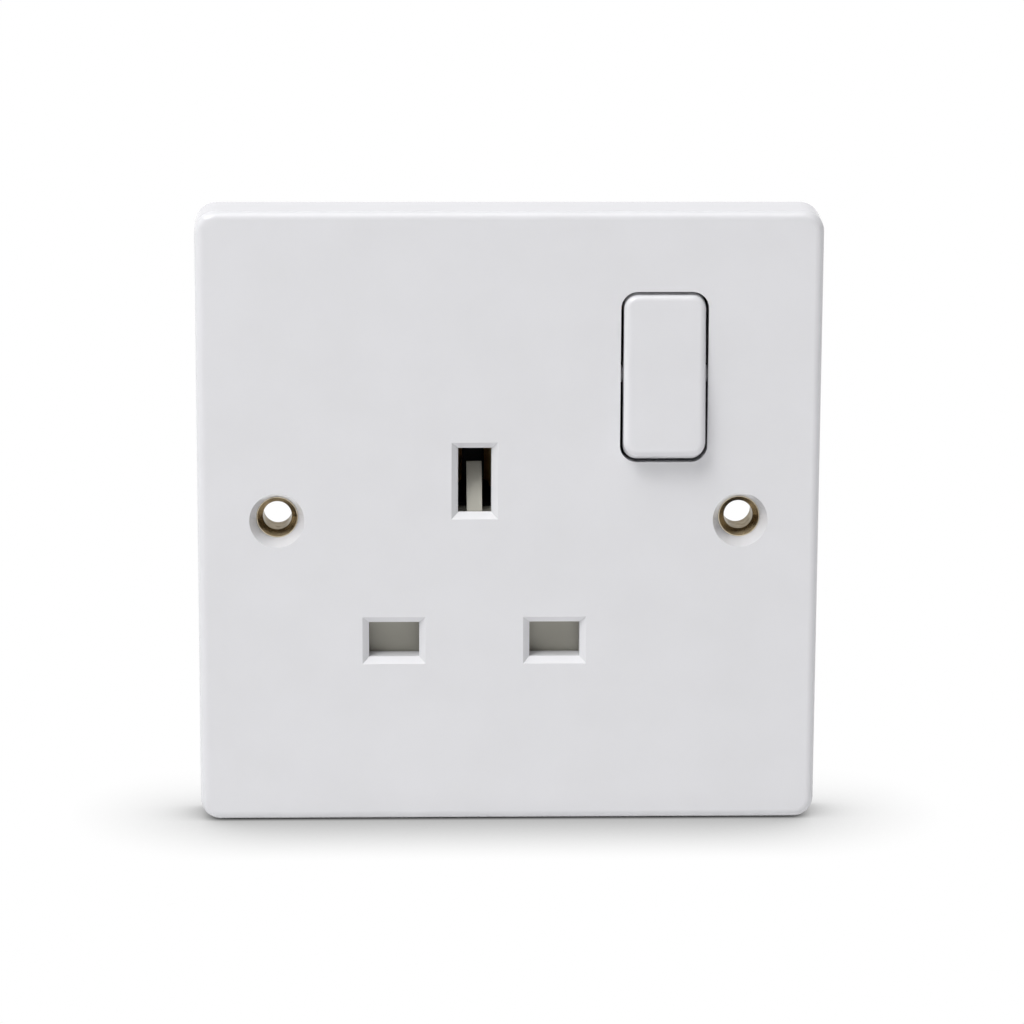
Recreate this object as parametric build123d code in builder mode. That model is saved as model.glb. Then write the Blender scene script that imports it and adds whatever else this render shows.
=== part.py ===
"""Single switched wall socket: plate, rocker switch, shutter, contacts, terminals and rear housing."""
import os
from math import cos, radians, sin, sqrt, tan

from build123d import *

os.makedirs("parts", exist_ok=True)

# Frame, in millimetres and degrees: X to the right and Z up as seen from the front, Y into the wall.
# The rear rim of the plate lies on the wall plane Y = 0, so depths in front of the wall are negative.

# Face plate
plate_size = 86.0
plate_projection = 8.0
plate_corner_radius = 3.0
plate_edge_radius = 1.2
plate_draft = 1.5
face_wall = 2.5
side_wall = 2.2
cavity_corner_radius = 1.5

# Pins and their apertures
pin_pitch = 22.23
pin_group_x = -4.7
flat_pin_z = -16.9
flat_pin_width = 6.35
flat_pin_height = 4.0
earth_pin_width = 4.0
earth_pin_height = 8.0
earth_pin_length = 22.7
pin_slack = 0.6
earth_headroom = 0.4
flat_footroom = 0.3
aperture_bevel = 0.9
sleeve_wall = 1.1
sleeve_reach = 1.2

# Fixing holes and their bushes
fixing_centres = 63.8
fixing_mouth_diameter = 7.6
fixing_mouth_angle = 42.0
fixing_bore_diameter = 4.0
bush_diameter = 5.7
bush_rim = 0.1
bush_funnel_depth = 1.2
bush_flange_diameter = 8.6
bush_flange_thickness = 0.8
bush_tail_diameter = 6.4
bush_fit = 0.05
boss_diameter = 10.0
boss_setback = 2.6

# Rocker and the well that it turns in
rocker_x = 21.2
rocker_z = 20.0
rocker_opening_width = 12.0
rocker_opening_height = 23.7
rocker_opening_corner = 2.3
rocker_side_gap = 0.4
rocker_end_gap = 0.15
rocker_tilt = 6.0
rocker_pivot_setback = 5.0
rocker_proud = 1.5
rocker_skirt = 1.6
rocker_wall = 1.6
rocker_rib = 1.6
rocker_corner_radius = 1.9
rocker_edge_radius = 0.9
trunnion_diameter = 2.4
trunnion_reach = 1.6
trunnion_fit = 0.05
well_wall = 2.2
well_setback = 2.2
stem_diameter = 5.4
stem_length = 7.0
plunger_diameter = 3.0
plunger_fit = 0.1
plunger_tip = 9.6
plunger_head = 3.6
spring_seat = 1.4
rocker_spring_wire = 0.36
rocker_spring_turns = 5

# Moving contact, which rocks on the nose of the feed strip
arm_tilt = 12.0
arm_pivot_depth = 6.5
arm_width = 5.0
arm_upper_length = 10.0
arm_lower_length = 6.5
nose_radius = 0.8
nose_fit = 0.05
tip_reach = 8.0
tip_diameter = 3.2
tip_height = 0.9
tip_dome = 0.25
tip_shank_diameter = 1.6
tip_fit = 0.05
closed_gap = 0.12

# Sheet brass contacts and strap
contact_sheet = 0.8
strip_plane = 11.15
strip_width = 3.2
line_riser_x = 11.5
feed_riser_offset = 1.6
clip_width = 6.0
clip_pinch = 3.5
clip_belly = 4.6
clip_mouth = 5.6
clip_mouth_depth = 0.4
clip_pinch_depth = 3.4
clip_bend = 0.7
blade_room = 0.8
earth_leg_end = 12.5
earth_leg_spread = 4.4
earth_leg_lead = 2.5
earth_leg_pinch = 3.0
earth_leg_pinch_depth = 5.0
earth_leg_rise = 2.0
earth_flange_width = 12.6
earth_arm_width = 7.6
strap_width = 7.0
strap_end_margin = 4.4
strap_plate_bottom = -4.0
strap_hole_drop = 1.6
strap_jog = 1.2

# Terminals
terminal_side_wall = 2.3
terminal_spacing = 11.4
terminal_width = 7.6
terminal_height = 9.0
terminal_depth = 8.5
terminal_corner_radius = 0.45
terminal_edge_gap = 1.8
tab_hole_fit = 0.1
wire_bore_diameter = 5.0
wire_bore_wall = 0.45
terminal_screw_diameter = 4.0
terminal_screw_fit = 0.06
terminal_screw_travel = 3.5
terminal_screw_point = 0.5
terminal_head_diameter = 6.4
terminal_head_height = 2.1
terminal_head_chamfer = 0.25
screw_slot_width = 1.0
screw_slot_depth = 1.0

# Shutter
shutter_thickness = 2.2
shutter_gap = 0.2
shutter_overlap_side = 0.6
shutter_overlap_top = 0.55
shutter_overlap_bottom = 0.8
shutter_travel = 6.4
shutter_corner_radius = 0.6
shutter_stem_width = 9.0
shutter_window_width = 5.2
shutter_window_bottom = -13.8
shutter_window_top = -1.0
shutter_stem_top = 0.7
tongue_width = 2.1
tongue_nose = 1.5
tongue_nose_height = 1.0
tongue_top = 7.1
tongue_tip = 0.4
tongue_gap = 0.5
guide_wall = 1.5
guide_gap = 0.25
guide_bottom = -12.5
guide_top = -3.0
spring_post_width = 4.0
spring_post_height = 2.0
spring_pin_diameter = 1.5
spring_pin_length = 1.2
shutter_spring_diameter = 2.8
shutter_spring_wire = 0.4
shutter_spring_turns = 7
spring_wire_sides = 8

# Rear housing and the screws that hold it on
housing_front = -1.6
housing_rear = 18.0
housing_side_wall = 1.8
housing_bottom = -28.0
housing_top = 33.5
housing_waist_depth = 5.5
housing_waist_height = 16.0
housing_corner_radius = 2.0
housing_rear_radius = 1.2
pocket_gap = 0.15
strip_gap = 0.05
wire_notch_width = 6.4
wire_notch_depth = 9.0
driver_hole_diameter = 7.2
upper_screw_inset = 8.5
upper_screw_z = 13.0
lower_screw_inset = 4.5
lower_screw_z = -12.5
top_screw_x = 4.5
top_screw_inset = 7.5
screw_boss_diameter = 6.4
screw_shank_diameter = 2.9
screw_fit = 0.06
screw_clearance = 0.12
screw_point = 1.0
screw_head_diameter = 5.6
screw_head_height = 1.9
screw_head_chamfer = 0.7
screw_head_setback = 4.0
screw_tip_cover = 1.6
cross_slot_length = 2.0
cross_slot_width = 0.5
cross_slot_depth = 1.0

# Places and sizes that follow from those above
face = -plate_projection
wall_back = face + face_wall
line_x = pin_group_x + pin_pitch / 2
neutral_x = pin_group_x - pin_pitch / 2
earth_z = flat_pin_z + pin_pitch
flat_slot_width = flat_pin_width + pin_slack
flat_slot_height = flat_pin_height + pin_slack + flat_footroom
flat_slot_z = flat_pin_z - flat_footroom / 2
earth_slot_width = earth_pin_width + pin_slack
earth_slot_height = earth_pin_height + pin_slack + earth_headroom
earth_slot_z = earth_z + earth_headroom / 2
earth_slot_bottom = earth_slot_z - earth_slot_height / 2
sleeve_end = wall_back + sleeve_reach
shutter_front = sleeve_end + shutter_gap
shutter_rear = shutter_front + shutter_thickness
post_bottom = shutter_window_bottom + guide_gap
post_top = post_bottom + spring_post_height
spring_axis_depth = housing_front - pocket_gap - shutter_spring_diameter / 2
housing_half_width = rocker_x + rocker_opening_width / 2 + housing_side_wall
housing_waist = housing_half_width - housing_waist_depth
feed_riser_x = rocker_x - feed_riser_offset
terminal_x = housing_half_width - terminal_side_wall - terminal_width / 2
strip_back = strip_plane + contact_sheet
strap_front = housing_front + pocket_gap
strap_back = strap_front + contact_sheet
terminal_front = strip_plane - terminal_depth
wire_bore_depth = terminal_front + wire_bore_wall + wire_bore_diameter / 2

# Assembly screws: upper left, between the line strips, lower left, and top
screw_places = [
    (upper_screw_inset - housing_half_width, upper_screw_z),
    ((line_riser_x + feed_riser_x) / 2, lower_screw_z),
    (lower_screw_inset - housing_half_width, lower_screw_z),
    (top_screw_x, housing_top - top_screw_inset),
]


def across(depth):
    """Plane parallel to the wall at this depth, seen from the front: its normal points out of the wall."""
    return Plane.XZ.offset(-depth)


def beside(x):
    """Plane square to the wall at this X: its own axes are Y, into the wall, and Z, up."""
    return Plane.YZ.offset(x)


def level(z):
    """Horizontal plane at this height: its own axes are X and Y."""
    return Plane.XY.offset(z)


# Rocker at OFF: its frame is tipped back, so that the top is pressed in. Its axes are X, up and outwards.
rocker_pivot = Vector(rocker_x, -rocker_pivot_setback, rocker_z)
rocker_normal = Vector(0, -cos(radians(rocker_tilt)), sin(radians(rocker_tilt)))
rocker_frame = Plane(origin=rocker_pivot, x_dir=(1, 0, 0), z_dir=rocker_normal)
rocker_side = Plane(origin=rocker_pivot, x_dir=rocker_frame.y_dir, z_dir=(1, 0, 0))
rocker_width = rocker_opening_width - 2 * rocker_side_gap
rocker_radius = rocker_opening_height / 2 - rocker_end_gap
rocker_front = plate_projection + rocker_proud - rocker_pivot_setback

# Moving contact at OFF: its frame is tipped forward, so that the upper end stands off the fixed contact.
arm_pivot = Vector(rocker_x, arm_pivot_depth, rocker_z)
arm_normal = Vector(0, -cos(radians(arm_tilt)), -sin(radians(arm_tilt)))
arm_frame = Plane(origin=arm_pivot, x_dir=(1, 0, 0), z_dir=arm_normal)
arm_side = Plane(origin=arm_pivot, x_dir=arm_frame.y_dir, z_dir=(1, 0, 0))

# Where the moving tip comes to when the switch is closed
closed_depth = arm_pivot_depth + tip_reach * sin(radians(arm_tilt)) + tip_height * cos(radians(arm_tilt))
closed_height = tip_reach * cos(radians(arm_tilt)) - tip_height * sin(radians(arm_tilt))
fixed_tip_z = rocker_z + closed_height
fixed_tip_front = closed_depth + closed_gap

# Terminals: name, X, and the way that the wire leaves, up or down
terminals = [
    ("line_terminal", terminal_x, -1),
    ("neutral_terminal", -terminal_x, -1),
    ("earth_terminal_left", -terminal_x, 1),
    ("earth_terminal_right", -terminal_x + terminal_spacing, 1),
]


def terminal_z(way):
    """Height of a terminal's middle, just inside the housing's upper or lower edge."""
    edge = housing_top if way > 0 else housing_bottom
    return edge - way * (terminal_edge_gap + terminal_height / 2)


earth_tab_left = -terminal_x - terminal_width / 2
earth_tab_right = pin_group_x + earth_arm_width / 2


# Front plate
with BuildPart() as front_plate:
    with BuildSketch(across(0)):
        RectangleRounded(plate_size, plate_size, plate_corner_radius)
    extrude(amount=plate_projection, taper=plate_draft)
    fillet(front_plate.faces().sort_by(Axis.Y)[0].edges(), plate_edge_radius)
    with BuildSketch(across(0)):
        RectangleRounded(plate_size - 2 * side_wall, plate_size - 2 * side_wall, cavity_corner_radius)
    extrude(amount=-wall_back, mode=Mode.SUBTRACT)
    # sleeves that carry the pins on behind the face
    with BuildSketch(across(sleeve_end)):
        with Locations((line_x, flat_slot_z), (neutral_x, flat_slot_z)):
            Rectangle(flat_slot_width + 2 * sleeve_wall, flat_slot_height + 2 * sleeve_wall)
        with Locations((pin_group_x, earth_slot_z)):
            Rectangle(earth_slot_width + 2 * sleeve_wall, earth_slot_height + 2 * sleeve_wall)
    extrude(amount=sleeve_reach)
    # well around the rocker
    with BuildSketch(across(-well_setback)):
        with Locations((rocker_x, rocker_z)):
            Rectangle(rocker_opening_width + 2 * well_wall, rocker_opening_height + 2 * well_wall)
    extrude(amount=-well_setback - wall_back)
    # bosses for the fixing bushes and for the assembly screws
    with BuildSketch(across(-boss_setback)):
        with GridLocations(fixing_centres, 1, 2, 1):
            Circle(boss_diameter / 2)
    extrude(amount=-boss_setback - wall_back)
    with BuildSketch(across(housing_front)):
        with Locations(screw_places):
            Circle(screw_boss_diameter / 2)
    extrude(amount=housing_front - wall_back)
    # guides on either side of the shutter's stem
    with BuildSketch(across(shutter_rear)):
        with Locations((pin_group_x, (guide_top + guide_bottom) / 2)):
            with GridLocations(shutter_stem_width + 2 * guide_gap + guide_wall, 1, 2, 1):
                Rectangle(guide_wall, guide_top - guide_bottom)
    extrude(amount=shutter_rear - wall_back)
    # post and pin that hold the lower end of the shutter's spring
    with BuildSketch(across(shutter_rear)):
        with Locations((pin_group_x, (post_bottom + post_top) / 2)):
            Rectangle(spring_post_width, spring_post_height)
    extrude(amount=shutter_rear - wall_back)
    with BuildSketch(level(post_top)):
        with Locations((pin_group_x, spring_axis_depth)):
            Circle(spring_pin_diameter / 2)
    extrude(amount=spring_pin_length)
    # bevelled pin apertures
    with BuildSketch(across(face)):
        with Locations((line_x, flat_slot_z), (neutral_x, flat_slot_z)):
            Rectangle(flat_slot_width + 2 * aperture_bevel, flat_slot_height + 2 * aperture_bevel)
        with Locations((pin_group_x, earth_slot_z)):
            Rectangle(earth_slot_width + 2 * aperture_bevel, earth_slot_height + 2 * aperture_bevel)
    extrude(amount=-aperture_bevel, taper=45, mode=Mode.SUBTRACT)
    with BuildSketch(across(sleeve_end)):
        with Locations((line_x, flat_slot_z), (neutral_x, flat_slot_z)):
            Rectangle(flat_slot_width, flat_slot_height)
        with Locations((pin_group_x, earth_slot_z)):
            Rectangle(earth_slot_width, earth_slot_height)
    extrude(amount=sleeve_end - face, mode=Mode.SUBTRACT)
    # groove, as wide as the earth slot, that the nose of the shutter's tongue runs down in
    groove_bottom = earth_slot_bottom - tongue_nose_height - shutter_travel - tongue_gap
    with BuildSketch(across(sleeve_end)):
        with Locations((pin_group_x, (groove_bottom + earth_z) / 2)):
            Rectangle(earth_slot_width, earth_z - groove_bottom)
    extrude(amount=sleeve_end - face - tongue_nose + guide_gap, mode=Mode.SUBTRACT)
    # rocker opening and the notches that its trunnions sit in
    with BuildSketch(across(-well_setback)):
        with Locations((rocker_x, rocker_z)):
            RectangleRounded(rocker_opening_width, rocker_opening_height, rocker_opening_corner)
    extrude(amount=plate_projection - well_setback, mode=Mode.SUBTRACT)
    with BuildSketch(beside(rocker_x)):
        with Locations((-rocker_pivot_setback, rocker_z)):
            Circle(trunnion_diameter / 2 + trunnion_fit)
        with Locations(((-rocker_pivot_setback - well_setback) / 2, rocker_z)):
            Rectangle(rocker_pivot_setback - well_setback, trunnion_diameter + 2 * trunnion_fit)
    extrude(amount=rocker_opening_width / 2 + well_wall, both=True, mode=Mode.SUBTRACT)
    # countersunk fixing holes and pilot holes for the assembly screws
    with Locations(across(face)):
        with GridLocations(fixing_centres, 1, 2, 1):
            CounterSinkHole(
                bush_diameter / 2 + bush_fit,
                fixing_mouth_diameter / 2,
                plate_projection,
                fixing_mouth_angle,
            )
    with BuildSketch(across(housing_front)):
        with Locations(screw_places):
            Circle(screw_shank_diameter / 2 + screw_fit)
    extrude(amount=housing_front - face - screw_tip_cover, mode=Mode.SUBTRACT)
front_plate.part.label = "front_plate"
export_step(front_plate.part, "parts/front_plate.step")

# Rocker
front_half = sqrt(rocker_radius**2 - rocker_front**2)
skirt_half = sqrt(rocker_radius**2 - rocker_skirt**2)
with BuildPart() as rocker:
    with BuildSketch(rocker_side):
        with BuildLine():
            Line((-front_half, rocker_front), (front_half, rocker_front))
            ThreePointArc((front_half, rocker_front), (rocker_radius, 0), (skirt_half, -rocker_skirt))
            Line((skirt_half, -rocker_skirt), (-skirt_half, -rocker_skirt))
            ThreePointArc((-skirt_half, -rocker_skirt), (-rocker_radius, 0), (-front_half, rocker_front))
        make_face()
    extrude(amount=rocker_width / 2, both=True)
    fillet(rocker.edges().filter_by(GeomType.CIRCLE), rocker_corner_radius)
    fillet(rocker.faces().sort_by(Axis.Y)[0].edges(), rocker_edge_radius)
    with BuildSketch(rocker_frame.offset(-rocker_skirt)):
        RectangleRounded(rocker_width - 2 * rocker_wall, 2 * (front_half - rocker_wall), rocker_corner_radius)
    extrude(amount=rocker_skirt + rocker_front - rocker_wall, mode=Mode.SUBTRACT)
    with BuildSketch(rocker_frame.offset(-stem_length)):
        Circle(stem_diameter / 2)
    extrude(amount=stem_length + rocker_front - rocker_wall)
    with BuildSketch(rocker_frame):
        Rectangle(rocker_width - 2 * rocker_wall, rocker_rib)
    extrude(amount=rocker_front - rocker_wall)
    with BuildSketch(rocker_frame.offset(-stem_length)):
        Circle(plunger_diameter / 2 + plunger_fit)
    extrude(amount=stem_length + spring_seat, mode=Mode.SUBTRACT)
    for side in (-1, 1):
        with BuildSketch(rocker_side.offset(side * (rocker_width / 2 - rocker_wall))):
            Circle(trunnion_diameter / 2)
        extrude(amount=side * (rocker_wall + trunnion_reach))
rocker.part.label = "rocker"
export_step(rocker.part, "parts/rocker.step")

# Plunger in the rocker's stem, with its round nose on the moving contact
with BuildPart() as rocker_plunger:
    with BuildSketch(rocker_side):
        with BuildLine():
            nose_centre = plunger_diameter / 2 - plunger_tip
            Line((0, -plunger_tip), (0, -plunger_head))
            Line((0, -plunger_head), (plunger_diameter / 2, -plunger_head))
            Line((plunger_diameter / 2, -plunger_head), (plunger_diameter / 2, nose_centre))
            RadiusArc((plunger_diameter / 2, nose_centre), (0, -plunger_tip), plunger_diameter / 2)
        make_face()
    revolve(axis=Axis(rocker_pivot, rocker_normal))
rocker_plunger.part.label = "rocker_plunger"
export_step(rocker_plunger.part, "parts/rocker_plunger.step")

# Spring above the plunger
rocker_spring_length = spring_seat + plunger_head - rocker_spring_wire
with BuildPart() as rocker_spring:
    with BuildLine() as rocker_coil:
        Helix(
            rocker_spring_length / rocker_spring_turns,
            rocker_spring_length,
            (plunger_diameter - rocker_spring_wire) / 2,
            center=rocker_pivot + rocker_normal * (rocker_spring_wire / 2 - plunger_head),
            direction=rocker_normal,
        )
    with BuildSketch(Plane(origin=rocker_coil.line @ 0, z_dir=rocker_coil.line % 0)):
        RegularPolygon(rocker_spring_wire / 2, spring_wire_sides)
    sweep(path=rocker_coil.line)
rocker_spring.part.label = "rocker_spring"
export_step(rocker_spring.part, "parts/rocker_spring.step")

# Moving contact: a strip with a half-round knuckle that rocks on the feed strip's nose
knuckle_inner = nose_radius + nose_fit
knuckle_outer = knuckle_inner + contact_sheet
arm_length = arm_upper_length + arm_lower_length
with BuildPart() as moving_contact:
    with BuildSketch(arm_side):
        with Locations(((arm_upper_length - arm_lower_length) / 2, contact_sheet / 2)):
            Rectangle(arm_length, contact_sheet)
        Circle(knuckle_outer)
        Circle(knuckle_inner, mode=Mode.SUBTRACT)
        with Locations((0, -knuckle_outer / 2)):
            Rectangle(2 * knuckle_outer, knuckle_outer, mode=Mode.SUBTRACT)
    extrude(amount=arm_width / 2, both=True)
    with BuildSketch(arm_frame):
        with Locations((0, tip_reach)):
            Circle(tip_shank_diameter / 2 + tip_fit)
    extrude(amount=contact_sheet, mode=Mode.SUBTRACT)
moving_contact.part.label = "moving_contact"
export_step(moving_contact.part, "parts/moving_contact.step")


def tip_profile(plane, height):
    """Half section of a domed contact rivet: dome and head in front of the sheet, shank through it."""
    with BuildSketch(plane) as profile:
        with BuildLine():
            Line((0, contact_sheet), (0, -height))
            ThreePointArc(
                (0, -height),
                (tip_diameter / 4, -height + tip_dome / 4),
                (tip_diameter / 2, -height + tip_dome),
            )
            Line((tip_diameter / 2, -height + tip_dome), (tip_diameter / 2, 0))
            Line((tip_diameter / 2, 0), (tip_shank_diameter / 2, 0))
            Line((tip_shank_diameter / 2, 0), (tip_shank_diameter / 2, contact_sheet))
            Line((tip_shank_diameter / 2, contact_sheet), (0, contact_sheet))
        make_face()
    return profile.sketch


# Silver tip on the moving contact
tip_centre = arm_frame.from_local_coords(Vector(0, tip_reach, 0))
tip_section = Plane(origin=tip_centre, x_dir=(1, 0, 0), z_dir=-arm_frame.y_dir)
with BuildPart() as moving_contact_tip:
    revolve(tip_profile(tip_section, tip_height), axis=Axis(tip_centre, arm_normal))
moving_contact_tip.part.label = "moving_contact_tip"
export_step(moving_contact_tip.part, "parts/moving_contact_tip.step")

# Silver tip on the fixed contact, facing the moving one
fixed_centre = Vector(rocker_x, strip_plane, fixed_tip_z)
fixed_section = Plane(origin=fixed_centre, x_dir=(1, 0, 0), z_dir=(0, 0, 1))
with BuildPart() as fixed_contact_tip:
    revolve(tip_profile(fixed_section, strip_plane - fixed_tip_front), axis=Axis(fixed_centre, (0, 1, 0)))
fixed_contact_tip.part.label = "fixed_contact_tip"
export_step(fixed_contact_tip.part, "parts/fixed_contact_tip.step")


def clip_profile(plane):
    """Edge view of a contact clip, open to the front: two blades that pinch the pin, joined at the back."""
    back = strip_plane + contact_sheet / 2
    half_mouth = (clip_mouth + contact_sheet) / 2
    half_pinch = (clip_pinch + contact_sheet) / 2
    half_belly = (clip_belly + contact_sheet) / 2
    belly_depth = (clip_pinch_depth + back) / 2
    with BuildSketch(plane) as profile:
        with BuildLine() as blades:
            FilletPolyline(
                (clip_mouth_depth, flat_pin_z + half_mouth),
                (clip_pinch_depth, flat_pin_z + half_pinch),
                (belly_depth, flat_pin_z + half_belly),
                (back, flat_pin_z + half_belly),
                (back, flat_pin_z - half_belly),
                (belly_depth, flat_pin_z - half_belly),
                (clip_pinch_depth, flat_pin_z - half_pinch),
                (clip_mouth_depth, flat_pin_z - half_mouth),
                radius=clip_bend,
            )
        trace(blades.line, contact_sheet)
    return profile.sketch


# Line contact: clip, riser and the tongue that carries the fixed contact
with BuildPart() as line_contact:
    extrude(clip_profile(beside(line_x)), amount=clip_width / 2, both=True)
    with BuildSketch(across(strip_back)):
        with BuildLine() as route:
            Polyline(
                (line_x, flat_pin_z),
                (line_riser_x, flat_pin_z),
                (line_riser_x, fixed_tip_z),
                (rocker_x + arm_width / 2, fixed_tip_z),
            )
        trace(route.line, strip_width)
        with Locations((rocker_x, fixed_tip_z)):
            Circle(tip_shank_diameter / 2 + tip_fit, mode=Mode.SUBTRACT)
    extrude(amount=contact_sheet)
line_contact.part.label = "line_contact"
export_step(line_contact.part, "parts/line_contact.step")

# Feed strip: tab under the line terminal, riser, and the post whose nose carries the moving contact
with BuildPart() as line_feed_strip:
    with BuildSketch(across(strip_back)):
        with Locations((feed_riser_x, (terminal_z(-1) + rocker_z) / 2)):
            Rectangle(strip_width, rocker_z - terminal_z(-1) + contact_sheet)
        with Locations((rocker_x, rocker_z - (strip_width - contact_sheet) / 2)):
            Rectangle(arm_width, strip_width)
        with Locations((terminal_x, terminal_z(-1))):
            Rectangle(terminal_width, terminal_height)
            Circle(terminal_screw_diameter / 2 + tab_hole_fit, mode=Mode.SUBTRACT)
    extrude(amount=contact_sheet)
    with BuildSketch(beside(rocker_x)):
        with Locations(((arm_pivot_depth + strip_plane) / 2, rocker_z)):
            Rectangle(strip_plane - arm_pivot_depth, contact_sheet)
        with Locations((arm_pivot_depth, rocker_z)):
            Circle(nose_radius)
    extrude(amount=arm_width / 2, both=True)
line_feed_strip.part.label = "line_feed_strip"
export_step(line_feed_strip.part, "parts/line_feed_strip.step")

# Neutral contact: clip and the tab under the neutral terminal
tab_bottom = terminal_z(-1) - terminal_height / 2
tab_top = flat_pin_z + strip_width / 2
with BuildPart() as neutral_contact:
    extrude(clip_profile(beside(neutral_x)), amount=clip_width / 2, both=True)
    with BuildSketch(across(strip_back)):
        with Locations(((neutral_x - terminal_x) / 2, flat_pin_z)):
            Rectangle(neutral_x + terminal_x, strip_width)
        with Locations((-terminal_x, (tab_bottom + tab_top) / 2)):
            Rectangle(terminal_width, tab_top - tab_bottom)
        with Locations((-terminal_x, terminal_z(-1))):
            Circle(terminal_screw_diameter / 2 + tab_hole_fit, mode=Mode.SUBTRACT)
    extrude(amount=contact_sheet)
neutral_contact.part.label = "neutral_contact"
export_step(neutral_contact.part, "parts/neutral_contact.step")

# Earth contact: flange behind the strap, two legs that grip the pin, and the arm up to the earth terminals
earth_top = earth_slot_z + earth_slot_height / 2
flange_middle = strap_back + contact_sheet / 2
arm_level = earth_top + contact_sheet
with BuildPart() as earth_contact:
    with BuildSketch(level(earth_slot_bottom + earth_leg_rise)):
        for side in (-1, 1):
            with BuildLine() as leg:
                FilletPolyline(
                    (pin_group_x + side * earth_flange_width / 2, flange_middle),
                    (pin_group_x + side * (earth_leg_spread + contact_sheet) / 2, flange_middle),
                    (pin_group_x + side * (earth_leg_spread + contact_sheet) / 2, earth_leg_lead),
                    (pin_group_x + side * (earth_leg_pinch + contact_sheet) / 2, earth_leg_pinch_depth),
                    (pin_group_x + side * (earth_leg_spread + contact_sheet) / 2, earth_leg_end),
                    radius=clip_bend,
                )
            trace(leg.line, contact_sheet)
    extrude(amount=earth_slot_height - earth_leg_rise)
    with BuildSketch(across(strap_back + contact_sheet)):
        with Locations((pin_group_x, earth_top + contact_sheet / 2)):
            Rectangle(earth_flange_width, contact_sheet)
    extrude(amount=contact_sheet)
    with BuildSketch(beside(pin_group_x)):
        with BuildLine() as arm:
            Polyline(
                (flange_middle, arm_level),
                (strip_plane + contact_sheet / 2, arm_level),
                (strip_plane + contact_sheet / 2, terminal_z(1) + terminal_height / 2),
            )
        trace(arm.line, contact_sheet)
    extrude(amount=earth_arm_width / 2, both=True)
    with BuildSketch(across(strip_back)):
        with Locations(((earth_tab_left + earth_tab_right) / 2, terminal_z(1))):
            Rectangle(earth_tab_right - earth_tab_left, terminal_height)
        with Locations((-terminal_x, terminal_z(1)), (-terminal_x + terminal_spacing, terminal_z(1))):
            Circle(terminal_screw_diameter / 2 + tab_hole_fit, mode=Mode.SUBTRACT)
    extrude(amount=contact_sheet)
earth_contact.part.label = "earth_contact"
export_step(earth_contact.part, "parts/earth_contact.step")

# Earth strap: bar from bush to bush, stepped forward onto the bosses, with a plate around the earth slot
strap_end = fixing_centres / 2 + strap_end_margin
strap_middle = strap_back - contact_sheet / 2
strap_tab_middle = -boss_setback + contact_sheet / 2
with BuildPart() as earth_strap:
    with BuildSketch(level(-strap_width / 2)):
        with BuildLine() as strap_line:
            Polyline(
                (-strap_end, strap_tab_middle),
                (-housing_waist - strap_jog, strap_tab_middle),
                (-housing_waist, strap_middle),
                (housing_waist, strap_middle),
                (housing_waist + strap_jog, strap_tab_middle),
                (strap_end, strap_tab_middle),
            )
        trace(strap_line.line, contact_sheet)
    extrude(amount=strap_width)
    with BuildSketch(across(strap_back)):
        with Locations((pin_group_x, (strap_plate_bottom + earth_top) / 2)):
            Rectangle(earth_flange_width, earth_top - strap_plate_bottom)
    extrude(amount=contact_sheet)
    with BuildSketch(across(strap_back)):
        with Locations((pin_group_x, earth_slot_z - strap_hole_drop / 2)):
            Rectangle(earth_slot_width + 2 * pocket_gap, earth_slot_height + strap_hole_drop)
    extrude(amount=contact_sheet, mode=Mode.SUBTRACT)
    with BuildSketch(across(0)):
        with GridLocations(fixing_centres, 1, 2, 1):
            Circle(bush_diameter / 2 + bush_fit)
    extrude(amount=plate_projection, mode=Mode.SUBTRACT)
earth_strap.part.label = "earth_strap"
export_step(earth_strap.part, "parts/earth_strap.step")

# Fixing bushes: turned brass, with a funnel mouth in front, a flange behind the strap and a tail to the wall
mouth_slope = tan(radians(fixing_mouth_angle / 2))
bush_front = face + ((fixing_mouth_diameter - bush_diameter) / 2 - bush_fit) / mouth_slope
flange_front = -boss_setback + contact_sheet
flange_rear = flange_front + bush_flange_thickness
for name, side in (("left_fixing_bush", -1), ("right_fixing_bush", 1)):
    with BuildPart() as fixing_bush:
        with BuildSketch(Plane(origin=(side * fixing_centres / 2, 0, 0), x_dir=(1, 0, 0), z_dir=(0, 0, 1))):
            with BuildLine():
                Polyline(
                    (bush_diameter / 2 - bush_rim, bush_front),
                    (bush_diameter / 2, bush_front),
                    (bush_diameter / 2, flange_front),
                    (bush_flange_diameter / 2, flange_front),
                    (bush_flange_diameter / 2, flange_rear),
                    (bush_tail_diameter / 2, flange_rear),
                    (bush_tail_diameter / 2, 0),
                    (fixing_bore_diameter / 2, 0),
                    (fixing_bore_diameter / 2, bush_front + bush_funnel_depth),
                    (bush_diameter / 2 - bush_rim, bush_front),
                )
            make_face()
        revolve(axis=Axis((side * fixing_centres / 2, 0, 0), (0, 1, 0)))
    fixing_bush.part.label = name
    export_step(fixing_bush.part, f"parts/{name}.step")

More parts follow.
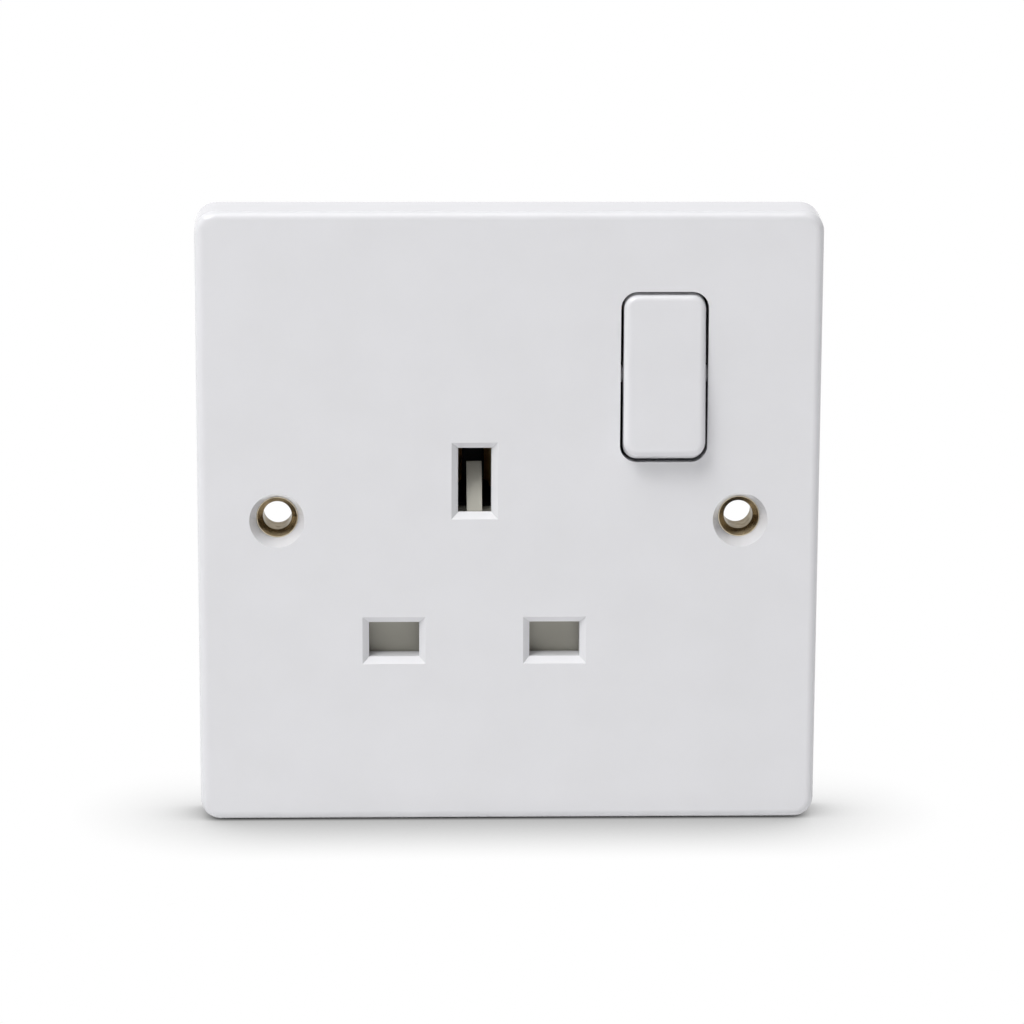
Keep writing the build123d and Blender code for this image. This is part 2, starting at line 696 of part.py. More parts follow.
# Shutter: wings behind the two lower apertures, a stem with the spring's window, and the ramp of the tongue
wing_half = pin_pitch / 2 + flat_slot_width / 2 + shutter_overlap_side
wing_top = flat_slot_z + flat_slot_height / 2 + shutter_overlap_top
wing_bottom = flat_slot_z - flat_slot_height / 2 - shutter_overlap_bottom
with BuildPart() as shutter:
    with BuildSketch(across(shutter_rear)):
        with Locations((pin_group_x, (wing_top + wing_bottom) / 2)):
            Rectangle(2 * wing_half, wing_top - wing_bottom)
        with Locations((pin_group_x, (shutter_stem_top + wing_bottom) / 2)):
            Rectangle(shutter_stem_width, shutter_stem_top - wing_bottom)
        with Locations((pin_group_x, (shutter_window_top + shutter_window_bottom) / 2)):
            Rectangle(
                shutter_window_width,
                shutter_window_top - shutter_window_bottom,
                mode=Mode.SUBTRACT,
            )
    extrude(amount=shutter_thickness)
    fillet(shutter.edges().filter_by(Axis.Y).group_by(Axis.X)[0], shutter_corner_radius)
    fillet(shutter.edges().filter_by(Axis.Y).group_by(Axis.X)[-1], shutter_corner_radius)
    with BuildSketch(beside(pin_group_x)):
        with BuildLine():
            Polyline(
                (face + tongue_nose, earth_slot_bottom - tongue_nose_height),
                (face + tongue_nose, earth_slot_bottom),
                (shutter_rear - tongue_tip, tongue_top),
                (shutter_rear, tongue_top),
                (shutter_rear, earth_slot_bottom - tongue_nose_height),
                (face + tongue_nose, earth_slot_bottom - tongue_nose_height),
            )
        make_face()
    extrude(amount=tongue_width / 2, both=True)
    with BuildSketch(level(shutter_window_top)):
        with Locations((pin_group_x, spring_axis_depth)):
            Circle(spring_pin_diameter / 2)
    extrude(amount=-spring_pin_length)
shutter.part.label = "shutter"
export_step(shutter.part, "parts/shutter.step")

# Shutter spring, between the plate's post and the upper edge of the shutter's window
shutter_spring_length = shutter_window_top - post_top - shutter_spring_wire
with BuildPart() as shutter_spring:
    with BuildLine() as shutter_coil:
        Helix(
            shutter_spring_length / shutter_spring_turns,
            shutter_spring_length,
            (shutter_spring_diameter - shutter_spring_wire) / 2,
            center=(pin_group_x, spring_axis_depth, post_top + shutter_spring_wire / 2),
        )
    with BuildSketch(Plane(origin=shutter_coil.line @ 0, z_dir=shutter_coil.line % 0)):
        RegularPolygon(shutter_spring_wire / 2, spring_wire_sides)
    sweep(path=shutter_coil.line)
shutter_spring.part.label = "shutter_spring"
export_step(shutter_spring.part, "parts/shutter_spring.step")

# Pillar terminals, each with a wire bore up or down and a tapped hole from the rear
for name, x, way in terminals:
    with BuildPart() as terminal:
        with BuildSketch(across(strip_plane)):
            with Locations((x, terminal_z(way))):
                RectangleRounded(terminal_width, terminal_height, terminal_corner_radius)
        extrude(amount=terminal_depth)
        with BuildSketch(level(terminal_z(way) - terminal_height / 2)):
            with Locations((x, wire_bore_depth)):
                Circle(wire_bore_diameter / 2)
        extrude(amount=terminal_height, mode=Mode.SUBTRACT)
        with BuildSketch(across(strip_plane)):
            with Locations((x, terminal_z(way))):
                Circle(terminal_screw_diameter / 2 + terminal_screw_fit)
        extrude(amount=strip_plane - wire_bore_depth, mode=Mode.SUBTRACT)
    terminal.part.label = name
    export_step(terminal.part, f"parts/{name}.step")

# Terminal screws, backed out until their points clear the wire bores
point_depth = wire_bore_depth + wire_bore_diameter / 2 + terminal_screw_fit
head_depth = strip_back + terminal_screw_travel + pocket_gap
for terminal_name, x, way in terminals:
    name = terminal_name.replace("terminal", "terminal_screw")
    with BuildPart() as terminal_screw:
        with BuildSketch(across(point_depth)):
            with Locations((x, terminal_z(way))):
                Circle(terminal_screw_diameter / 2)
        extrude(amount=point_depth - head_depth)
        chamfer(terminal_screw.edges().sort_by(Axis.Y)[0], terminal_screw_point)
        with BuildSketch(across(head_depth)):
            with Locations((x, terminal_z(way))):
                Circle(terminal_head_diameter / 2)
        extrude(amount=-terminal_head_height)
        chamfer(terminal_screw.edges().sort_by(Axis.Y)[-1], terminal_head_chamfer)
        with BuildSketch(across(head_depth + terminal_head_height)):
            with Locations((x, terminal_z(way))):
                Rectangle(terminal_head_diameter, screw_slot_width)
        extrude(amount=screw_slot_depth, mode=Mode.SUBTRACT)
    terminal_screw.part.label = name
    export_step(terminal_screw.part, f"parts/{name}.step")

# Rear housing: a deep moulding with a pocket for each contact, open to the front
pocket_floor = strip_back + strip_gap
with BuildPart() as rear_housing:
    with BuildSketch(across(housing_rear)):
        with Locations((0, (housing_top + housing_bottom) / 2)):
            Rectangle(2 * housing_half_width, housing_top - housing_bottom)
        with GridLocations(housing_half_width + housing_waist, 1, 2, 1):
            Rectangle(housing_half_width - housing_waist, housing_waist_height, mode=Mode.SUBTRACT)
    extrude(amount=housing_rear - housing_front)
    fillet(rear_housing.edges().filter_by(Axis.Y), housing_corner_radius)
    fillet(rear_housing.faces().sort_by(Axis.Y)[-1].edges(), housing_rear_radius)
    # switch chamber, contact pockets and channels down to the strips
    with BuildSketch(across(housing_front)):
        with Locations((rocker_x, rocker_z)):
            Rectangle(rocker_opening_width, rocker_opening_height)
        with Locations((line_x, flat_pin_z), (neutral_x, flat_pin_z)):
            Rectangle(clip_width + 2 * pocket_gap, clip_mouth + 2 * contact_sheet + 2 * blade_room)
        with BuildLine() as channel:
            Polyline(
                (line_x, flat_pin_z),
                (line_riser_x, flat_pin_z),
                (line_riser_x, fixed_tip_z),
                (rocker_x, fixed_tip_z),
            )
        trace(channel.line, strip_width + 2 * pocket_gap)
        with Locations((feed_riser_x, (terminal_z(-1) + rocker_z) / 2)):
            Rectangle(
                strip_width + 2 * pocket_gap,
                rocker_z - terminal_z(-1) + contact_sheet + 2 * pocket_gap,
            )
        with Locations(((neutral_x - terminal_x) / 2, flat_pin_z)):
            Rectangle(
                neutral_x + terminal_x + terminal_width + 2 * pocket_gap,
                strip_width + 2 * pocket_gap,
            )
        with Locations((-terminal_x, (tab_bottom + tab_top) / 2)):
            Rectangle(terminal_width + 2 * pocket_gap, tab_top - tab_bottom + 2 * pocket_gap)
        with Locations((pin_group_x, (arm_level + terminal_z(1)) / 2)):
            Rectangle(
                earth_arm_width + 2 * pocket_gap,
                terminal_z(1) - arm_level + contact_sheet + 2 * pocket_gap,
            )
        with Locations(((earth_tab_left + earth_tab_right) / 2, terminal_z(1))):
            Rectangle(earth_tab_right - earth_tab_left + 2 * pocket_gap, terminal_height + 2 * pocket_gap)
        with Locations(*[(x, terminal_z(way)) for name, x, way in terminals]):
            Rectangle(terminal_width + 2 * pocket_gap, terminal_height + 2 * pocket_gap)
    extrude(amount=housing_front - pocket_floor, mode=Mode.SUBTRACT)
    # deeper pocket for the earth pin
    with BuildSketch(across(housing_front)):
        with Locations((pin_group_x, earth_slot_z)):
            Rectangle(
                earth_slot_width + 2 * contact_sheet + 2 * blade_room,
                earth_slot_height + 2 * pocket_gap,
            )
    extrude(amount=housing_front - face - earth_pin_length - contact_sheet, mode=Mode.SUBTRACT)
    # shallow seats for the strap and the earth contact's flange
    with BuildSketch(across(housing_front)):
        Rectangle(2 * housing_half_width, strap_width + 2 * pocket_gap)
        with Locations((pin_group_x, (strap_plate_bottom + earth_top) / 2)):
            Rectangle(earth_flange_width + 2 * pocket_gap, earth_top - strap_plate_bottom + 2 * pocket_gap)
    extrude(amount=housing_front - strap_back, mode=Mode.SUBTRACT)
    with BuildSketch(across(housing_front)):
        with Locations((pin_group_x, earth_slot_z + contact_sheet / 2)):
            Rectangle(
                earth_flange_width + 2 * pocket_gap,
                earth_slot_height + contact_sheet + 2 * pocket_gap,
            )
    extrude(amount=housing_front - strap_back - contact_sheet, mode=Mode.SUBTRACT)
    # wire entries in the upper and lower walls, driver holes from the rear
    for name, x, way in terminals:
        wall_z = terminal_z(way) + way * (terminal_height + terminal_edge_gap) / 2
        with BuildSketch(across(housing_front)):
            with Locations((x, wall_z)):
                Rectangle(wire_notch_width, 2 * terminal_edge_gap)
        extrude(amount=housing_front - wire_notch_depth, mode=Mode.SUBTRACT)
        with BuildSketch(across(housing_rear)):
            with Locations((x, terminal_z(way))):
                Circle(driver_hole_diameter / 2)
        extrude(amount=housing_rear - strip_plane, mode=Mode.SUBTRACT)
    # holes for the assembly screws, with sunk heads
    with BuildSketch(across(housing_rear)):
        with Locations(screw_places):
            Circle(screw_shank_diameter / 2 + screw_clearance)
    extrude(amount=housing_rear - housing_front, mode=Mode.SUBTRACT)
    with BuildSketch(across(housing_rear)):
        with Locations(screw_places):
            Circle(screw_head_diameter / 2 + pocket_gap)
    extrude(amount=screw_head_setback, mode=Mode.SUBTRACT)
rear_housing.part.label = "rear_housing"
export_step(rear_housing.part, "parts/rear_housing.step")

# Assembly screws, from the rear through the housing into the plate's bosses
screw_head_depth = housing_rear - screw_head_setback
screw_end = face + screw_tip_cover + pocket_gap
for number, (x, z) in enumerate(screw_places, start=1):
    with BuildPart() as assembly_screw:
        with BuildSketch(across(screw_head_depth)):
            with Locations((x, z)):
                Circle(screw_shank_diameter / 2)
        extrude(amount=screw_head_depth - screw_end)
        chamfer(assembly_screw.edges().sort_by(Axis.Y)[0], screw_point)
        with BuildSketch(across(screw_head_depth)):
            with Locations((x, z)):
                Circle(screw_head_diameter / 2)
        extrude(amount=-screw_head_height)
        chamfer(assembly_screw.edges().sort_by(Axis.Y)[-1], screw_head_chamfer)
        with BuildSketch(across(screw_head_depth + screw_head_height)):
            with Locations((x, z)):
                Rectangle(cross_slot_length, cross_slot_width)
                Rectangle(cross_slot_width, cross_slot_length)
        extrude(amount=cross_slot_depth, mode=Mode.SUBTRACT)
    assembly_screw.part.label = f"assembly_screw_{number}"
    export_step(assembly_screw.part, f"parts/assembly_screw_{number}.step")
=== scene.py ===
"""Switched wall socket: the finish of every piece, its moulded terminal marks and the studio around it."""
from math import cos, radians, sin, tau

import bmesh
import bpy
from mathutils import Matrix, Vector


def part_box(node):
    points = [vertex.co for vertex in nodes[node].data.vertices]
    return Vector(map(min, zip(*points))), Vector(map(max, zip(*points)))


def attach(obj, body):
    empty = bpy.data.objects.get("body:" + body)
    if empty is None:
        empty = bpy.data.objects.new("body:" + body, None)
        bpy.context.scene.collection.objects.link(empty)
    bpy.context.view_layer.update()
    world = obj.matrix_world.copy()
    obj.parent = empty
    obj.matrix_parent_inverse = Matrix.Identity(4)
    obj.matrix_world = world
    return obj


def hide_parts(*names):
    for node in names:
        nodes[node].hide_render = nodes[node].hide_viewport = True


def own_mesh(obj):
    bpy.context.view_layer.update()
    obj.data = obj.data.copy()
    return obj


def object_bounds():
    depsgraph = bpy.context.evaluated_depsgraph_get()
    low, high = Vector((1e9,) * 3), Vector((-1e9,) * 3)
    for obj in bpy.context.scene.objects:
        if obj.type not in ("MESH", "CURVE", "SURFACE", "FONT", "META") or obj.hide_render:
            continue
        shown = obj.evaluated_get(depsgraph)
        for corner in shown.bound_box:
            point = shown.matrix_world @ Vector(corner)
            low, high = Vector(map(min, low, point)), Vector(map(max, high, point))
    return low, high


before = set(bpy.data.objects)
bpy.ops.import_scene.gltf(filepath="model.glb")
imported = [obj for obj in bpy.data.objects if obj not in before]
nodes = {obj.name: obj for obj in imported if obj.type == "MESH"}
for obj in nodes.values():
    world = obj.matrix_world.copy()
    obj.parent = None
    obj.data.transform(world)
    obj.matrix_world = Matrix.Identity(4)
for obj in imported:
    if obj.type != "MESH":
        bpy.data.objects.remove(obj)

cad_low, cad_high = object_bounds()

# Front plate
# A square plate moulded in glossy white urea, hollow behind, with the aperture sleeves, the rocker's
# well and the screw bosses moulded in. Every other piece is fixed to it.


def new_material(name):
    """A material's node tree, its main shader and the piece's own coordinates, in metres."""
    material = bpy.data.materials.new(name)
    material.use_nodes = True
    tree = material.node_tree
    place = tree.nodes.new("ShaderNodeTexCoord").outputs["Object"]
    return material, tree, tree.nodes["Principled BSDF"], place


def noise(tree, place, size, detail=3.0, stretch=(1, 1, 1)):
    """Cloudy pattern whose patches are about this size, in metres, drawn out along the axes by stretch."""
    mapping = tree.nodes.new("ShaderNodeMapping")
    mapping.inputs["Scale"].default_value = [1 / (size * s) for s in stretch]
    tree.links.new(place, mapping.inputs["Vector"])
    cloud = tree.nodes.new("ShaderNodeTexNoise")
    cloud.inputs["Scale"].default_value = 1.0
    cloud.inputs["Detail"].default_value = detail
    tree.links.new(mapping.outputs["Vector"], cloud.inputs["Vector"])
    return cloud.outputs["Fac"]


def blend_colours(tree, factor, first, second, start=0.35, end=0.65):
    """Colour that goes from first to second as the factor goes from start to end."""
    ramp = tree.nodes.new("ShaderNodeValToRGB")
    ramp.color_ramp.elements[0].position = start
    ramp.color_ramp.elements[0].color = (*first, 1)
    ramp.color_ramp.elements[1].position = end
    ramp.color_ramp.elements[1].color = (*second, 1)
    tree.links.new(factor, ramp.inputs["Fac"])
    return ramp.outputs["Color"]


def spread(tree, factor, low, high):
    """Number that goes from low to high with the factor."""
    scale = tree.nodes.new("ShaderNodeMapRange")
    scale.inputs["To Min"].default_value = low
    scale.inputs["To Max"].default_value = high
    tree.links.new(factor, scale.inputs["Value"])
    return scale.outputs["Result"]


def relief(tree, shader, height, depth):
    """Fine surface relief of this depth, in metres."""
    bump = tree.nodes.new("ShaderNodeBump")
    bump.inputs["Distance"].default_value = depth
    tree.links.new(height, bump.inputs["Height"])
    tree.links.new(bump.outputs["Normal"], shader.inputs["Normal"])


def moulding(name, first, second, gloss, grain, grain_depth):
    """Moulded plastic: faint flow clouding in the colour, uneven gloss and the grain of the mould."""
    material, tree, shader, place = new_material(name)
    cloud_size = 0.009
    sheen_size = cloud_size / 3
    clouds = noise(tree, place, cloud_size)
    tree.links.new(blend_colours(tree, clouds, first, second), shader.inputs["Base Color"])
    sheen = noise(tree, place, sheen_size)
    tree.links.new(spread(tree, sheen, *gloss), shader.inputs["Roughness"])
    relief(tree, shader, noise(tree, place, grain, detail=2.0), grain_depth)
    return material


def give_finish(material, *names):
    """Puts a material on these pieces of the model in place of their plain ones."""
    for name in names:
        mesh = nodes[name].data
        mesh.materials.clear()
        mesh.materials.append(material)


white_urea = moulding(
    "white_urea",
    first=(0.735, 0.735, 0.752),
    second=(0.750, 0.750, 0.769),
    gloss=(0.14, 0.20),
    grain=0.0004,
    grain_depth=0.000002,
)
give_finish(white_urea, "front_plate")

# Fixing bushes
# Two flanged bushes turned from brass bar, with a funnel for the screw's head. They go in from the
# back of the plate and carry the ends of the earth strap.


def turned_brass(name, centre):
    """Brass with the fine rings that the lathe leaves around this axis, which runs through the plate."""
    material, tree, shader, place = new_material(name)
    shader.inputs["Metallic"].default_value = 1.0
    shift = tree.nodes.new("ShaderNodeMapping")
    shift.inputs["Location"].default_value = (-centre.x, 0, -centre.z)
    tree.links.new(place, shift.inputs["Vector"])
    rings = tree.nodes.new("ShaderNodeTexWave")
    rings.wave_type = "RINGS"
    rings.rings_direction = "SPHERICAL"
    ring_pitch = 0.00018
    radians_per_metre = 20  # of the wave's phase at scale 1
    rings.inputs["Scale"].default_value = 1 / (radians_per_metre * ring_pitch) * tau
    rings.inputs["Distortion"].default_value = 0.6
    rings.inputs["Detail"].default_value = 1.0
    tree.links.new(shift.outputs["Vector"], rings.inputs["Vector"])
    dulled_glint = (0.42, 0.40, 0.36, 1)
    shader.inputs["Specular Tint"].default_value = dulled_glint
    tarnish_size = 0.0011
    ring_depth = 0.000003
    tarnish = noise(tree, place, tarnish_size)
    gold = (0.66, 0.59, 0.47)
    brown = (0.38, 0.32, 0.23)
    colour = blend_colours(tree, tarnish, gold, brown, start=0.45, end=0.8)
    tree.links.new(colour, shader.inputs["Base Color"])
    tree.links.new(spread(tree, rings.outputs["Fac"], low=0.07, high=0.15), shader.inputs["Roughness"])
    relief(tree, shader, rings.outputs["Fac"], ring_depth)
    return material


for bush in ("left_fixing_bush", "right_fixing_bush"):
    low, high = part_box(bush)
    give_finish(turned_brass(f"turned_brass_{bush}", (low + high) / 2), bush)

# Shutter
# A safety shutter moulded in off-white acetal. It slides behind the face, closes the two lower
# apertures with its wings and shows its ramp in the upper one. The rocker's plunger is acetal too.
shutter_acetal = moulding(
    "shutter_acetal",
    first=(0.370, 0.358, 0.305),
    second=(0.400, 0.388, 0.335),
    gloss=(0.38, 0.48),
    grain=0.0003,
    grain_depth=0.000003,
)
give_finish(shutter_acetal, "shutter", "rocker_plunger")

# Rocker
# The switch's rocker, moulded in the same white urea as the plate. Its trunnions snap into the well,
# and the plunger in its hollow stem drives the moving contact.
give_finish(white_urea, "rocker")

# Springs
# Two compression springs coiled from bright steel wire: one behind the plunger in the rocker's stem,
# one that pushes the shutter back up.


def drawn_wire():
    """Bright spring wire, with the faint streaks of drawing and coiling."""
    material, tree, shader, place = new_material("spring_wire")
    shader.inputs["Metallic"].default_value = 1.0
    streak_size = 0.00025
    dark_steel = (0.42, 0.42, 0.43)
    pale_steel = (0.60, 0.60, 0.61)
    streaks = noise(tree, place, streak_size, detail=2.0)
    tree.links.new(blend_colours(tree, streaks, dark_steel, pale_steel), shader.inputs["Base Color"])
    tree.links.new(spread(tree, streaks, low=0.2, high=0.36), shader.inputs["Roughness"])
    return material


weld_distance = 1e-7


def sprung_coil(node, body):
    """A copy of this coil, with its doubled points welded, hung on this body in place of the model's piece.
    """
    mesh = nodes[node].data.copy()
    shape = bmesh.new()
    shape.from_mesh(mesh)
    bmesh.ops.remove_doubles(shape, verts=shape.verts, dist=weld_distance)
    shape.to_mesh(mesh)
    shape.free()
    coil = bpy.data.objects.new(f"{node}_coil", mesh)
    bpy.context.scene.collection.objects.link(coil)
    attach(coil, body)
    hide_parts(node)
    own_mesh(coil)


give_finish(drawn_wire(), "rocker_spring", "shutter_spring")
sprung_coil("rocker_spring", "rocker")
sprung_coil("shutter_spring", "base")

# Contacts and earth strap
# Contact clips, feed strip, rocking arm and earth strap, all pressed and folded from rolled sheet
# brass. They drop into the rear housing's pockets, and the bushes hold the strap's ends.


def rolled_brass():
    """Sheet brass: rolling lines up the sheet, and a dull brown bloom in patches."""
    material, tree, shader, place = new_material("rolled_brass")
    bare_metal_share = 0.55
    line_width = 0.00012
    line_depth = 0.000004
    bloom_size = 0.004
    yellow = (0.66, 0.47, 0.22)
    brown = (0.52, 0.35, 0.15)
    shader.inputs["Metallic"].default_value = bare_metal_share
    lines = noise(tree, place, line_width, detail=2.0, stretch=(1, 1, 18))
    bloom = noise(tree, place, bloom_size)
    colour = blend_colours(tree, bloom, yellow, brown, start=0.4, end=0.75)
    tree.links.new(colour, shader.inputs["Base Color"])
    tree.links.new(spread(tree, lines, low=0.50, high=0.66), shader.inputs["Roughness"])
    relief(tree, shader, lines, line_depth)
    return material


give_finish(
    rolled_brass(),
    "line_contact",
    "neutral_contact",
    "earth_contact",
    "earth_strap",
    "line_feed_strip",
    "moving_contact",
)

# Contact tips
# Domed rivets of silver alloy, headed into the moving arm and into the line contact. They close
# the circuit when the switch is on.


def silver_alloy():
    """Polished silver with a thin warm tarnish."""
    material, tree, shader, place = new_material("silver_alloy")
    shader.inputs["Metallic"].default_value = 1.0
    tarnish_size = 0.0008
    bright = (0.80, 0.79, 0.77)
    warm = (0.68, 0.65, 0.58)
    tarnish = noise(tree, place, tarnish_size)
    colour = blend_colours(tree, tarnish, bright, warm, start=0.45, end=0.8)
    tree.links.new(colour, shader.inputs["Base Color"])
    tree.links.new(spread(tree, tarnish, low=0.12, high=0.26), shader.inputs["Roughness"])
    return material


give_finish(silver_alloy(), "moving_contact_tip", "fixed_contact_tip")

# Terminals
# Pillar terminals cut from extruded brass bar, drilled for the wire and tapped from the rear for the
# screw. They sit in the rear housing.


def cut_brass():
    """Bar brass with the even scratches of the saw."""
    material, tree, shader, place = new_material("cut_brass")
    shader.inputs["Metallic"].default_value = 1.0
    scratch_width = 0.0001
    scratch_depth = 0.000005
    bloom_size = 0.003
    yellow = (0.66, 0.47, 0.20)
    brown = (0.52, 0.36, 0.15)
    scratches = noise(tree, place, scratch_width, detail=2.0, stretch=(14, 1, 1))
    bloom = noise(tree, place, bloom_size)
    colour = blend_colours(tree, bloom, yellow, brown, start=0.4, end=0.75)
    tree.links.new(colour, shader.inputs["Base Color"])
    tree.links.new(spread(tree, scratches, low=0.24, high=0.44), shader.inputs["Roughness"])
    relief(tree, shader, scratches, scratch_depth)
    return material


give_finish(cut_brass(), "line_terminal", "neutral_terminal", "earth_terminal_left", "earth_terminal_right")

# Rear housing
# A deep moulding in black phenolic that holds the contacts and terminals. It is screwed to the
# back of the plate.
black_phenolic = moulding(
    "black_phenolic",
    first=(0.016, 0.016, 0.017),
    second=(0.030, 0.029, 0.029),
    gloss=(0.36, 0.50),
    grain=0.0005,
    grain_depth=0.000008,
)
give_finish(black_phenolic, "rear_housing")

# Terminal marks
# The letters for line, neutral and earth, moulded proud of the rear housing beside the terminals'
# screw holes, in the same black phenolic.
letter_height = 0.0036
letter_relief = 0.0002
letter_edge = 0.00004
letter_offset = 0.0074
rear_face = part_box("rear_housing")[1].y


def middle(node):
    """Middle of a piece's box."""
    low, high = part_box(node)
    return (low + high) / 2


def moulded_letter(letter, name, place):
    """Raised letter on the rear face, upright for someone who looks at it from behind."""
    outline = bpy.data.curves.new(name, "FONT")
    outline.body = letter
    outline.size = letter_height
    outline.align_x = "CENTER"
    outline.align_y = "CENTER"
    outline.extrude = letter_relief
    outline.bevel_depth = letter_edge
    outline.offset = -letter_edge
    drawn = bpy.data.objects.new(name, outline)
    mesh = bpy.data.meshes.new_from_object(drawn)
    bpy.data.objects.remove(drawn)
    facing_rear = Matrix(((-1, 0, 0), (0, 0, 1), (0, 1, 0))).to_4x4()
    on_rear_face = Matrix.Translation((place.x, rear_face, place.z))
    mesh.transform(on_rear_face @ facing_rear)
    shape = bmesh.new()
    shape.from_mesh(mesh)
    bmesh.ops.remove_doubles(shape, verts=shape.verts, dist=weld_distance)
    bmesh.ops.recalc_face_normals(shape, faces=shape.faces)
    shape.to_mesh(mesh)
    shape.free()
    mesh.materials.clear()
    mesh.materials.append(black_phenolic)
    mark = bpy.data.objects.new(name, mesh)
    bpy.context.scene.collection.objects.link(mark)
    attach(mark, "base")


moulded_letter("L", "line_mark", middle("line_terminal") - Vector((letter_offset, 0, 0)))
moulded_letter("N", "neutral_mark", middle("neutral_terminal") + Vector((letter_offset, 0, 0)))
moulded_letter("E", "earth_mark", (middle("earth_terminal_left") + middle("earth_terminal_right")) / 2)

# Screws
# Slotted terminal screws and cross-slotted assembly screws in zinc-plated steel. The assembly screws
# hold the rear housing to the plate.


def zinc_plate():
    """Plated steel, a little cloudy, with a trace of yellow in the plating."""
    material, tree, shader, place = new_material("zinc_plate")
    shader.inputs["Metallic"].default_value = 1.0
    cloud_size = 0.0009
    grey_zinc = (0.58, 0.57, 0.54)
    yellow_zinc = (0.66, 0.64, 0.56)
    clouds = noise(tree, place, cloud_size)
    tree.links.new(blend_colours(tree, clouds, grey_zinc, yellow_zinc), shader.inputs["Base Color"])
    tree.links.new(spread(tree, clouds, low=0.22, high=0.38), shader.inputs["Roughness"])
    return material


screws = [name for name in nodes if "screw" in name]
give_finish(zinc_plate(), *screws)

# Table
# A plain white table top that the socket stands on by its lower edge, white out to the horizon. Where it is
# seen directly it glows white, with a painted shade around the foot of the plate from ambient occlusion; it
# gathers light as plain matt white.
table_reach = 3.0
table_colour = (0.90, 0.90, 0.90, 1)
painted_shade_reach = 0.0188
table_shape = bmesh.new()
bmesh.ops.create_grid(table_shape, x_segments=1, y_segments=1, size=table_reach)
bmesh.ops.translate(table_shape, verts=table_shape.verts, vec=(0, 0, cad_low.z))
table_mesh = bpy.data.meshes.new("table_top")
table_shape.to_mesh(table_mesh)
table_shape.free()
table_top = bpy.data.objects.new("table_top", table_mesh)
bpy.context.scene.collection.objects.link(table_top)


def seen_directly(tree):
    """1 for what is seen, straight, mirrored or through glass, and 0 for light that a surface gathers."""
    path = tree.nodes.new("ShaderNodeLightPath")
    either = path.outputs["Is Camera Ray"]
    for other in ("Is Glossy Ray", "Is Transmission Ray"):
        most = tree.nodes.new("ShaderNodeMath")
        most.operation = "MAXIMUM"
        tree.links.new(either, most.inputs[0])
        tree.links.new(path.outputs[other], most.inputs[1])
        either = most.outputs["Value"]
    return either


table_white = bpy.data.materials.new("table_white")
table_white.use_nodes = True
tree = table_white.node_tree
tree.nodes.remove(tree.nodes["Principled BSDF"])
matt = tree.nodes.new("ShaderNodeBsdfDiffuse")
matt.inputs["Color"].default_value = table_colour
# Painted shade: ambient occlusion darkens the table's white glow near the plate, in place of a cast shadow.
painted_shade = tree.nodes.new("ShaderNodeAmbientOcclusion")
painted_shade.inputs["Color"].default_value = (1, 1, 1, 1)
painted_shade.inputs["Distance"].default_value = painted_shade_reach
painted_shade_glow = tree.nodes.new("ShaderNodeEmission")
tree.links.new(painted_shade.outputs["Color"], painted_shade_glow.inputs["Color"])
mix = tree.nodes.new("ShaderNodeMixShader")
tree.links.new(seen_directly(tree), mix.inputs["Fac"])
tree.links.new(matt.outputs["BSDF"], mix.inputs[1])
tree.links.new(painted_shade_glow.outputs["Emission"], mix.inputs[2])
tree.links.new(mix.outputs["Shader"], tree.nodes["Material Output"].inputs["Surface"])
table_mesh.materials.append(table_white)

# Studio light
# A pale backdrop that goes dark behind the camera, one softbox high on the left in front and a broad one
# that hangs level overhead. The backdrop shines less than its reflection shows.
mirrored_level = 0.85
shining_level = 0.40
dark_level = 0.18
white_level = 1.0
dark_until = -0.35
pale_from = 0.5
backdrop_colour = (0.98, 0.975, 1.0, 1)
world = bpy.data.worlds.new("studio")
bpy.context.scene.world = world
world.use_nodes = True
tree = world.node_tree
direction = tree.nodes.new("ShaderNodeSeparateXYZ")
tree.links.new(tree.nodes.new("ShaderNodeTexCoord").outputs["Generated"], direction.inputs["Vector"])
depth = tree.nodes.new("ShaderNodeMapRange")
depth.interpolation_type = "SMOOTHSTEP"
depth.inputs["From Min"].default_value = dark_until
depth.inputs["From Max"].default_value = pale_from
depth.inputs["To Min"].default_value = dark_level
path = tree.nodes.new("ShaderNodeLightPath")
pale_level = spread(tree, path.outputs["Is Diffuse Ray"], mirrored_level, shining_level)
tree.links.new(pale_level, depth.inputs["To Max"])
tree.links.new(direction.outputs["Y"], depth.inputs["Value"])
paper = tree.nodes.new("ShaderNodeMix")
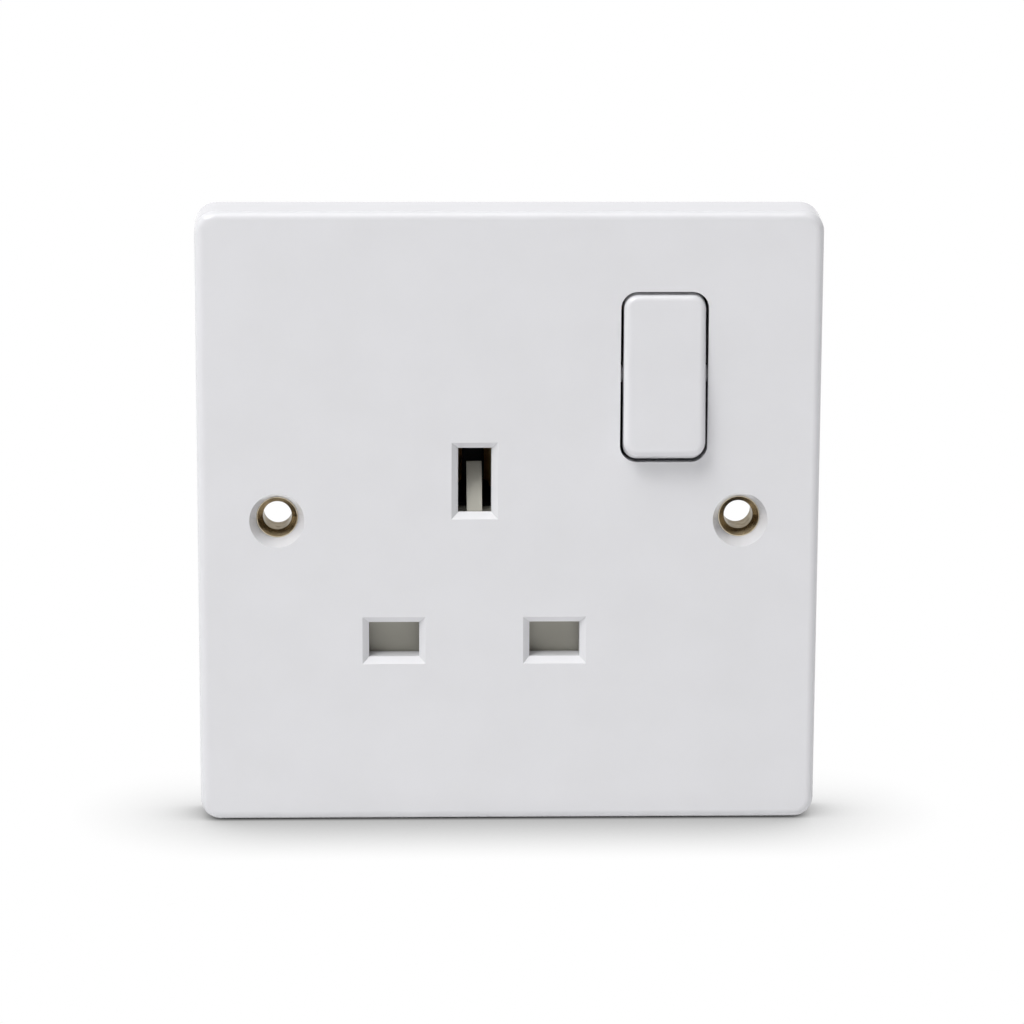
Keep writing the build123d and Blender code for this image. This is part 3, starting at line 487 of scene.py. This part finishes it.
tree.links.new(path.outputs["Is Camera Ray"], paper.inputs["Factor"])
tree.links.new(depth.outputs["Result"], paper.inputs["A"])
paper.inputs["B"].default_value = white_level
backdrop = tree.nodes["Background"]
backdrop.inputs["Color"].default_value = backdrop_colour
tree.links.new(paper.outputs["Result"], backdrop.inputs["Strength"])


def softbox(name, place, aim, width, height, power):
    """Softbox of this width and height that shines from its place towards the aim."""
    light = bpy.data.lights.new(name, "AREA")
    light.shape = "RECTANGLE"
    light.size = width
    light.size_y = height
    light.energy = power
    lamp = bpy.data.objects.new(name, light)
    lamp.location = place
    lamp.rotation_euler = (Vector(aim) - Vector(place)).to_track_quat("-Z", "Y").to_euler()
    bpy.context.scene.collection.objects.link(lamp)


softbox(
    "key_softbox",
    place=(-0.80, -1.02, 1.65),
    aim=(0, 0, 0),
    width=1.0,
    height=1.0,
    power=25.0,
)
softbox(
    "ceiling_softbox",
    place=(-0.50, -0.35, 1.30),
    aim=(-0.50, -0.35, 0),
    width=1.6,
    height=1.0,
    power=11.0,
)

# Camera
# A long lens from a little above, turned slightly to the right, at the photograph's viewing angle.
camera_place = Vector((-0.01755, -0.58326, 0.13162))
camera_yaw = radians(1.79)
camera_pitch = radians(12.77)
camera_roll = radians(0.254)
level_reach = cos(camera_pitch)
forward = Vector((sin(camera_yaw) * level_reach, cos(camera_yaw) * level_reach, -sin(camera_pitch)))
level_right = Vector((cos(camera_yaw), -sin(camera_yaw), 0))
level_up = level_right.cross(forward)
right = cos(camera_roll) * level_right + sin(camera_roll) * level_up
up = cos(camera_roll) * level_up - sin(camera_roll) * level_right
camera = bpy.data.objects.new("camera", bpy.data.cameras.new("camera"))
camera.data.sensor_width = 36.0
camera.data.lens = 150.8
camera.data.clip_start = 0.01
camera.data.clip_end = 100.0
camera_turn = Matrix((right, up, -forward)).transposed().to_4x4()
camera.matrix_world = Matrix.Translation(camera_place) @ camera_turn
bpy.context.scene.collection.objects.link(camera)
bpy.context.scene.camera = camera
bpy.context.scene.view_settings.view_transform = "Standard"
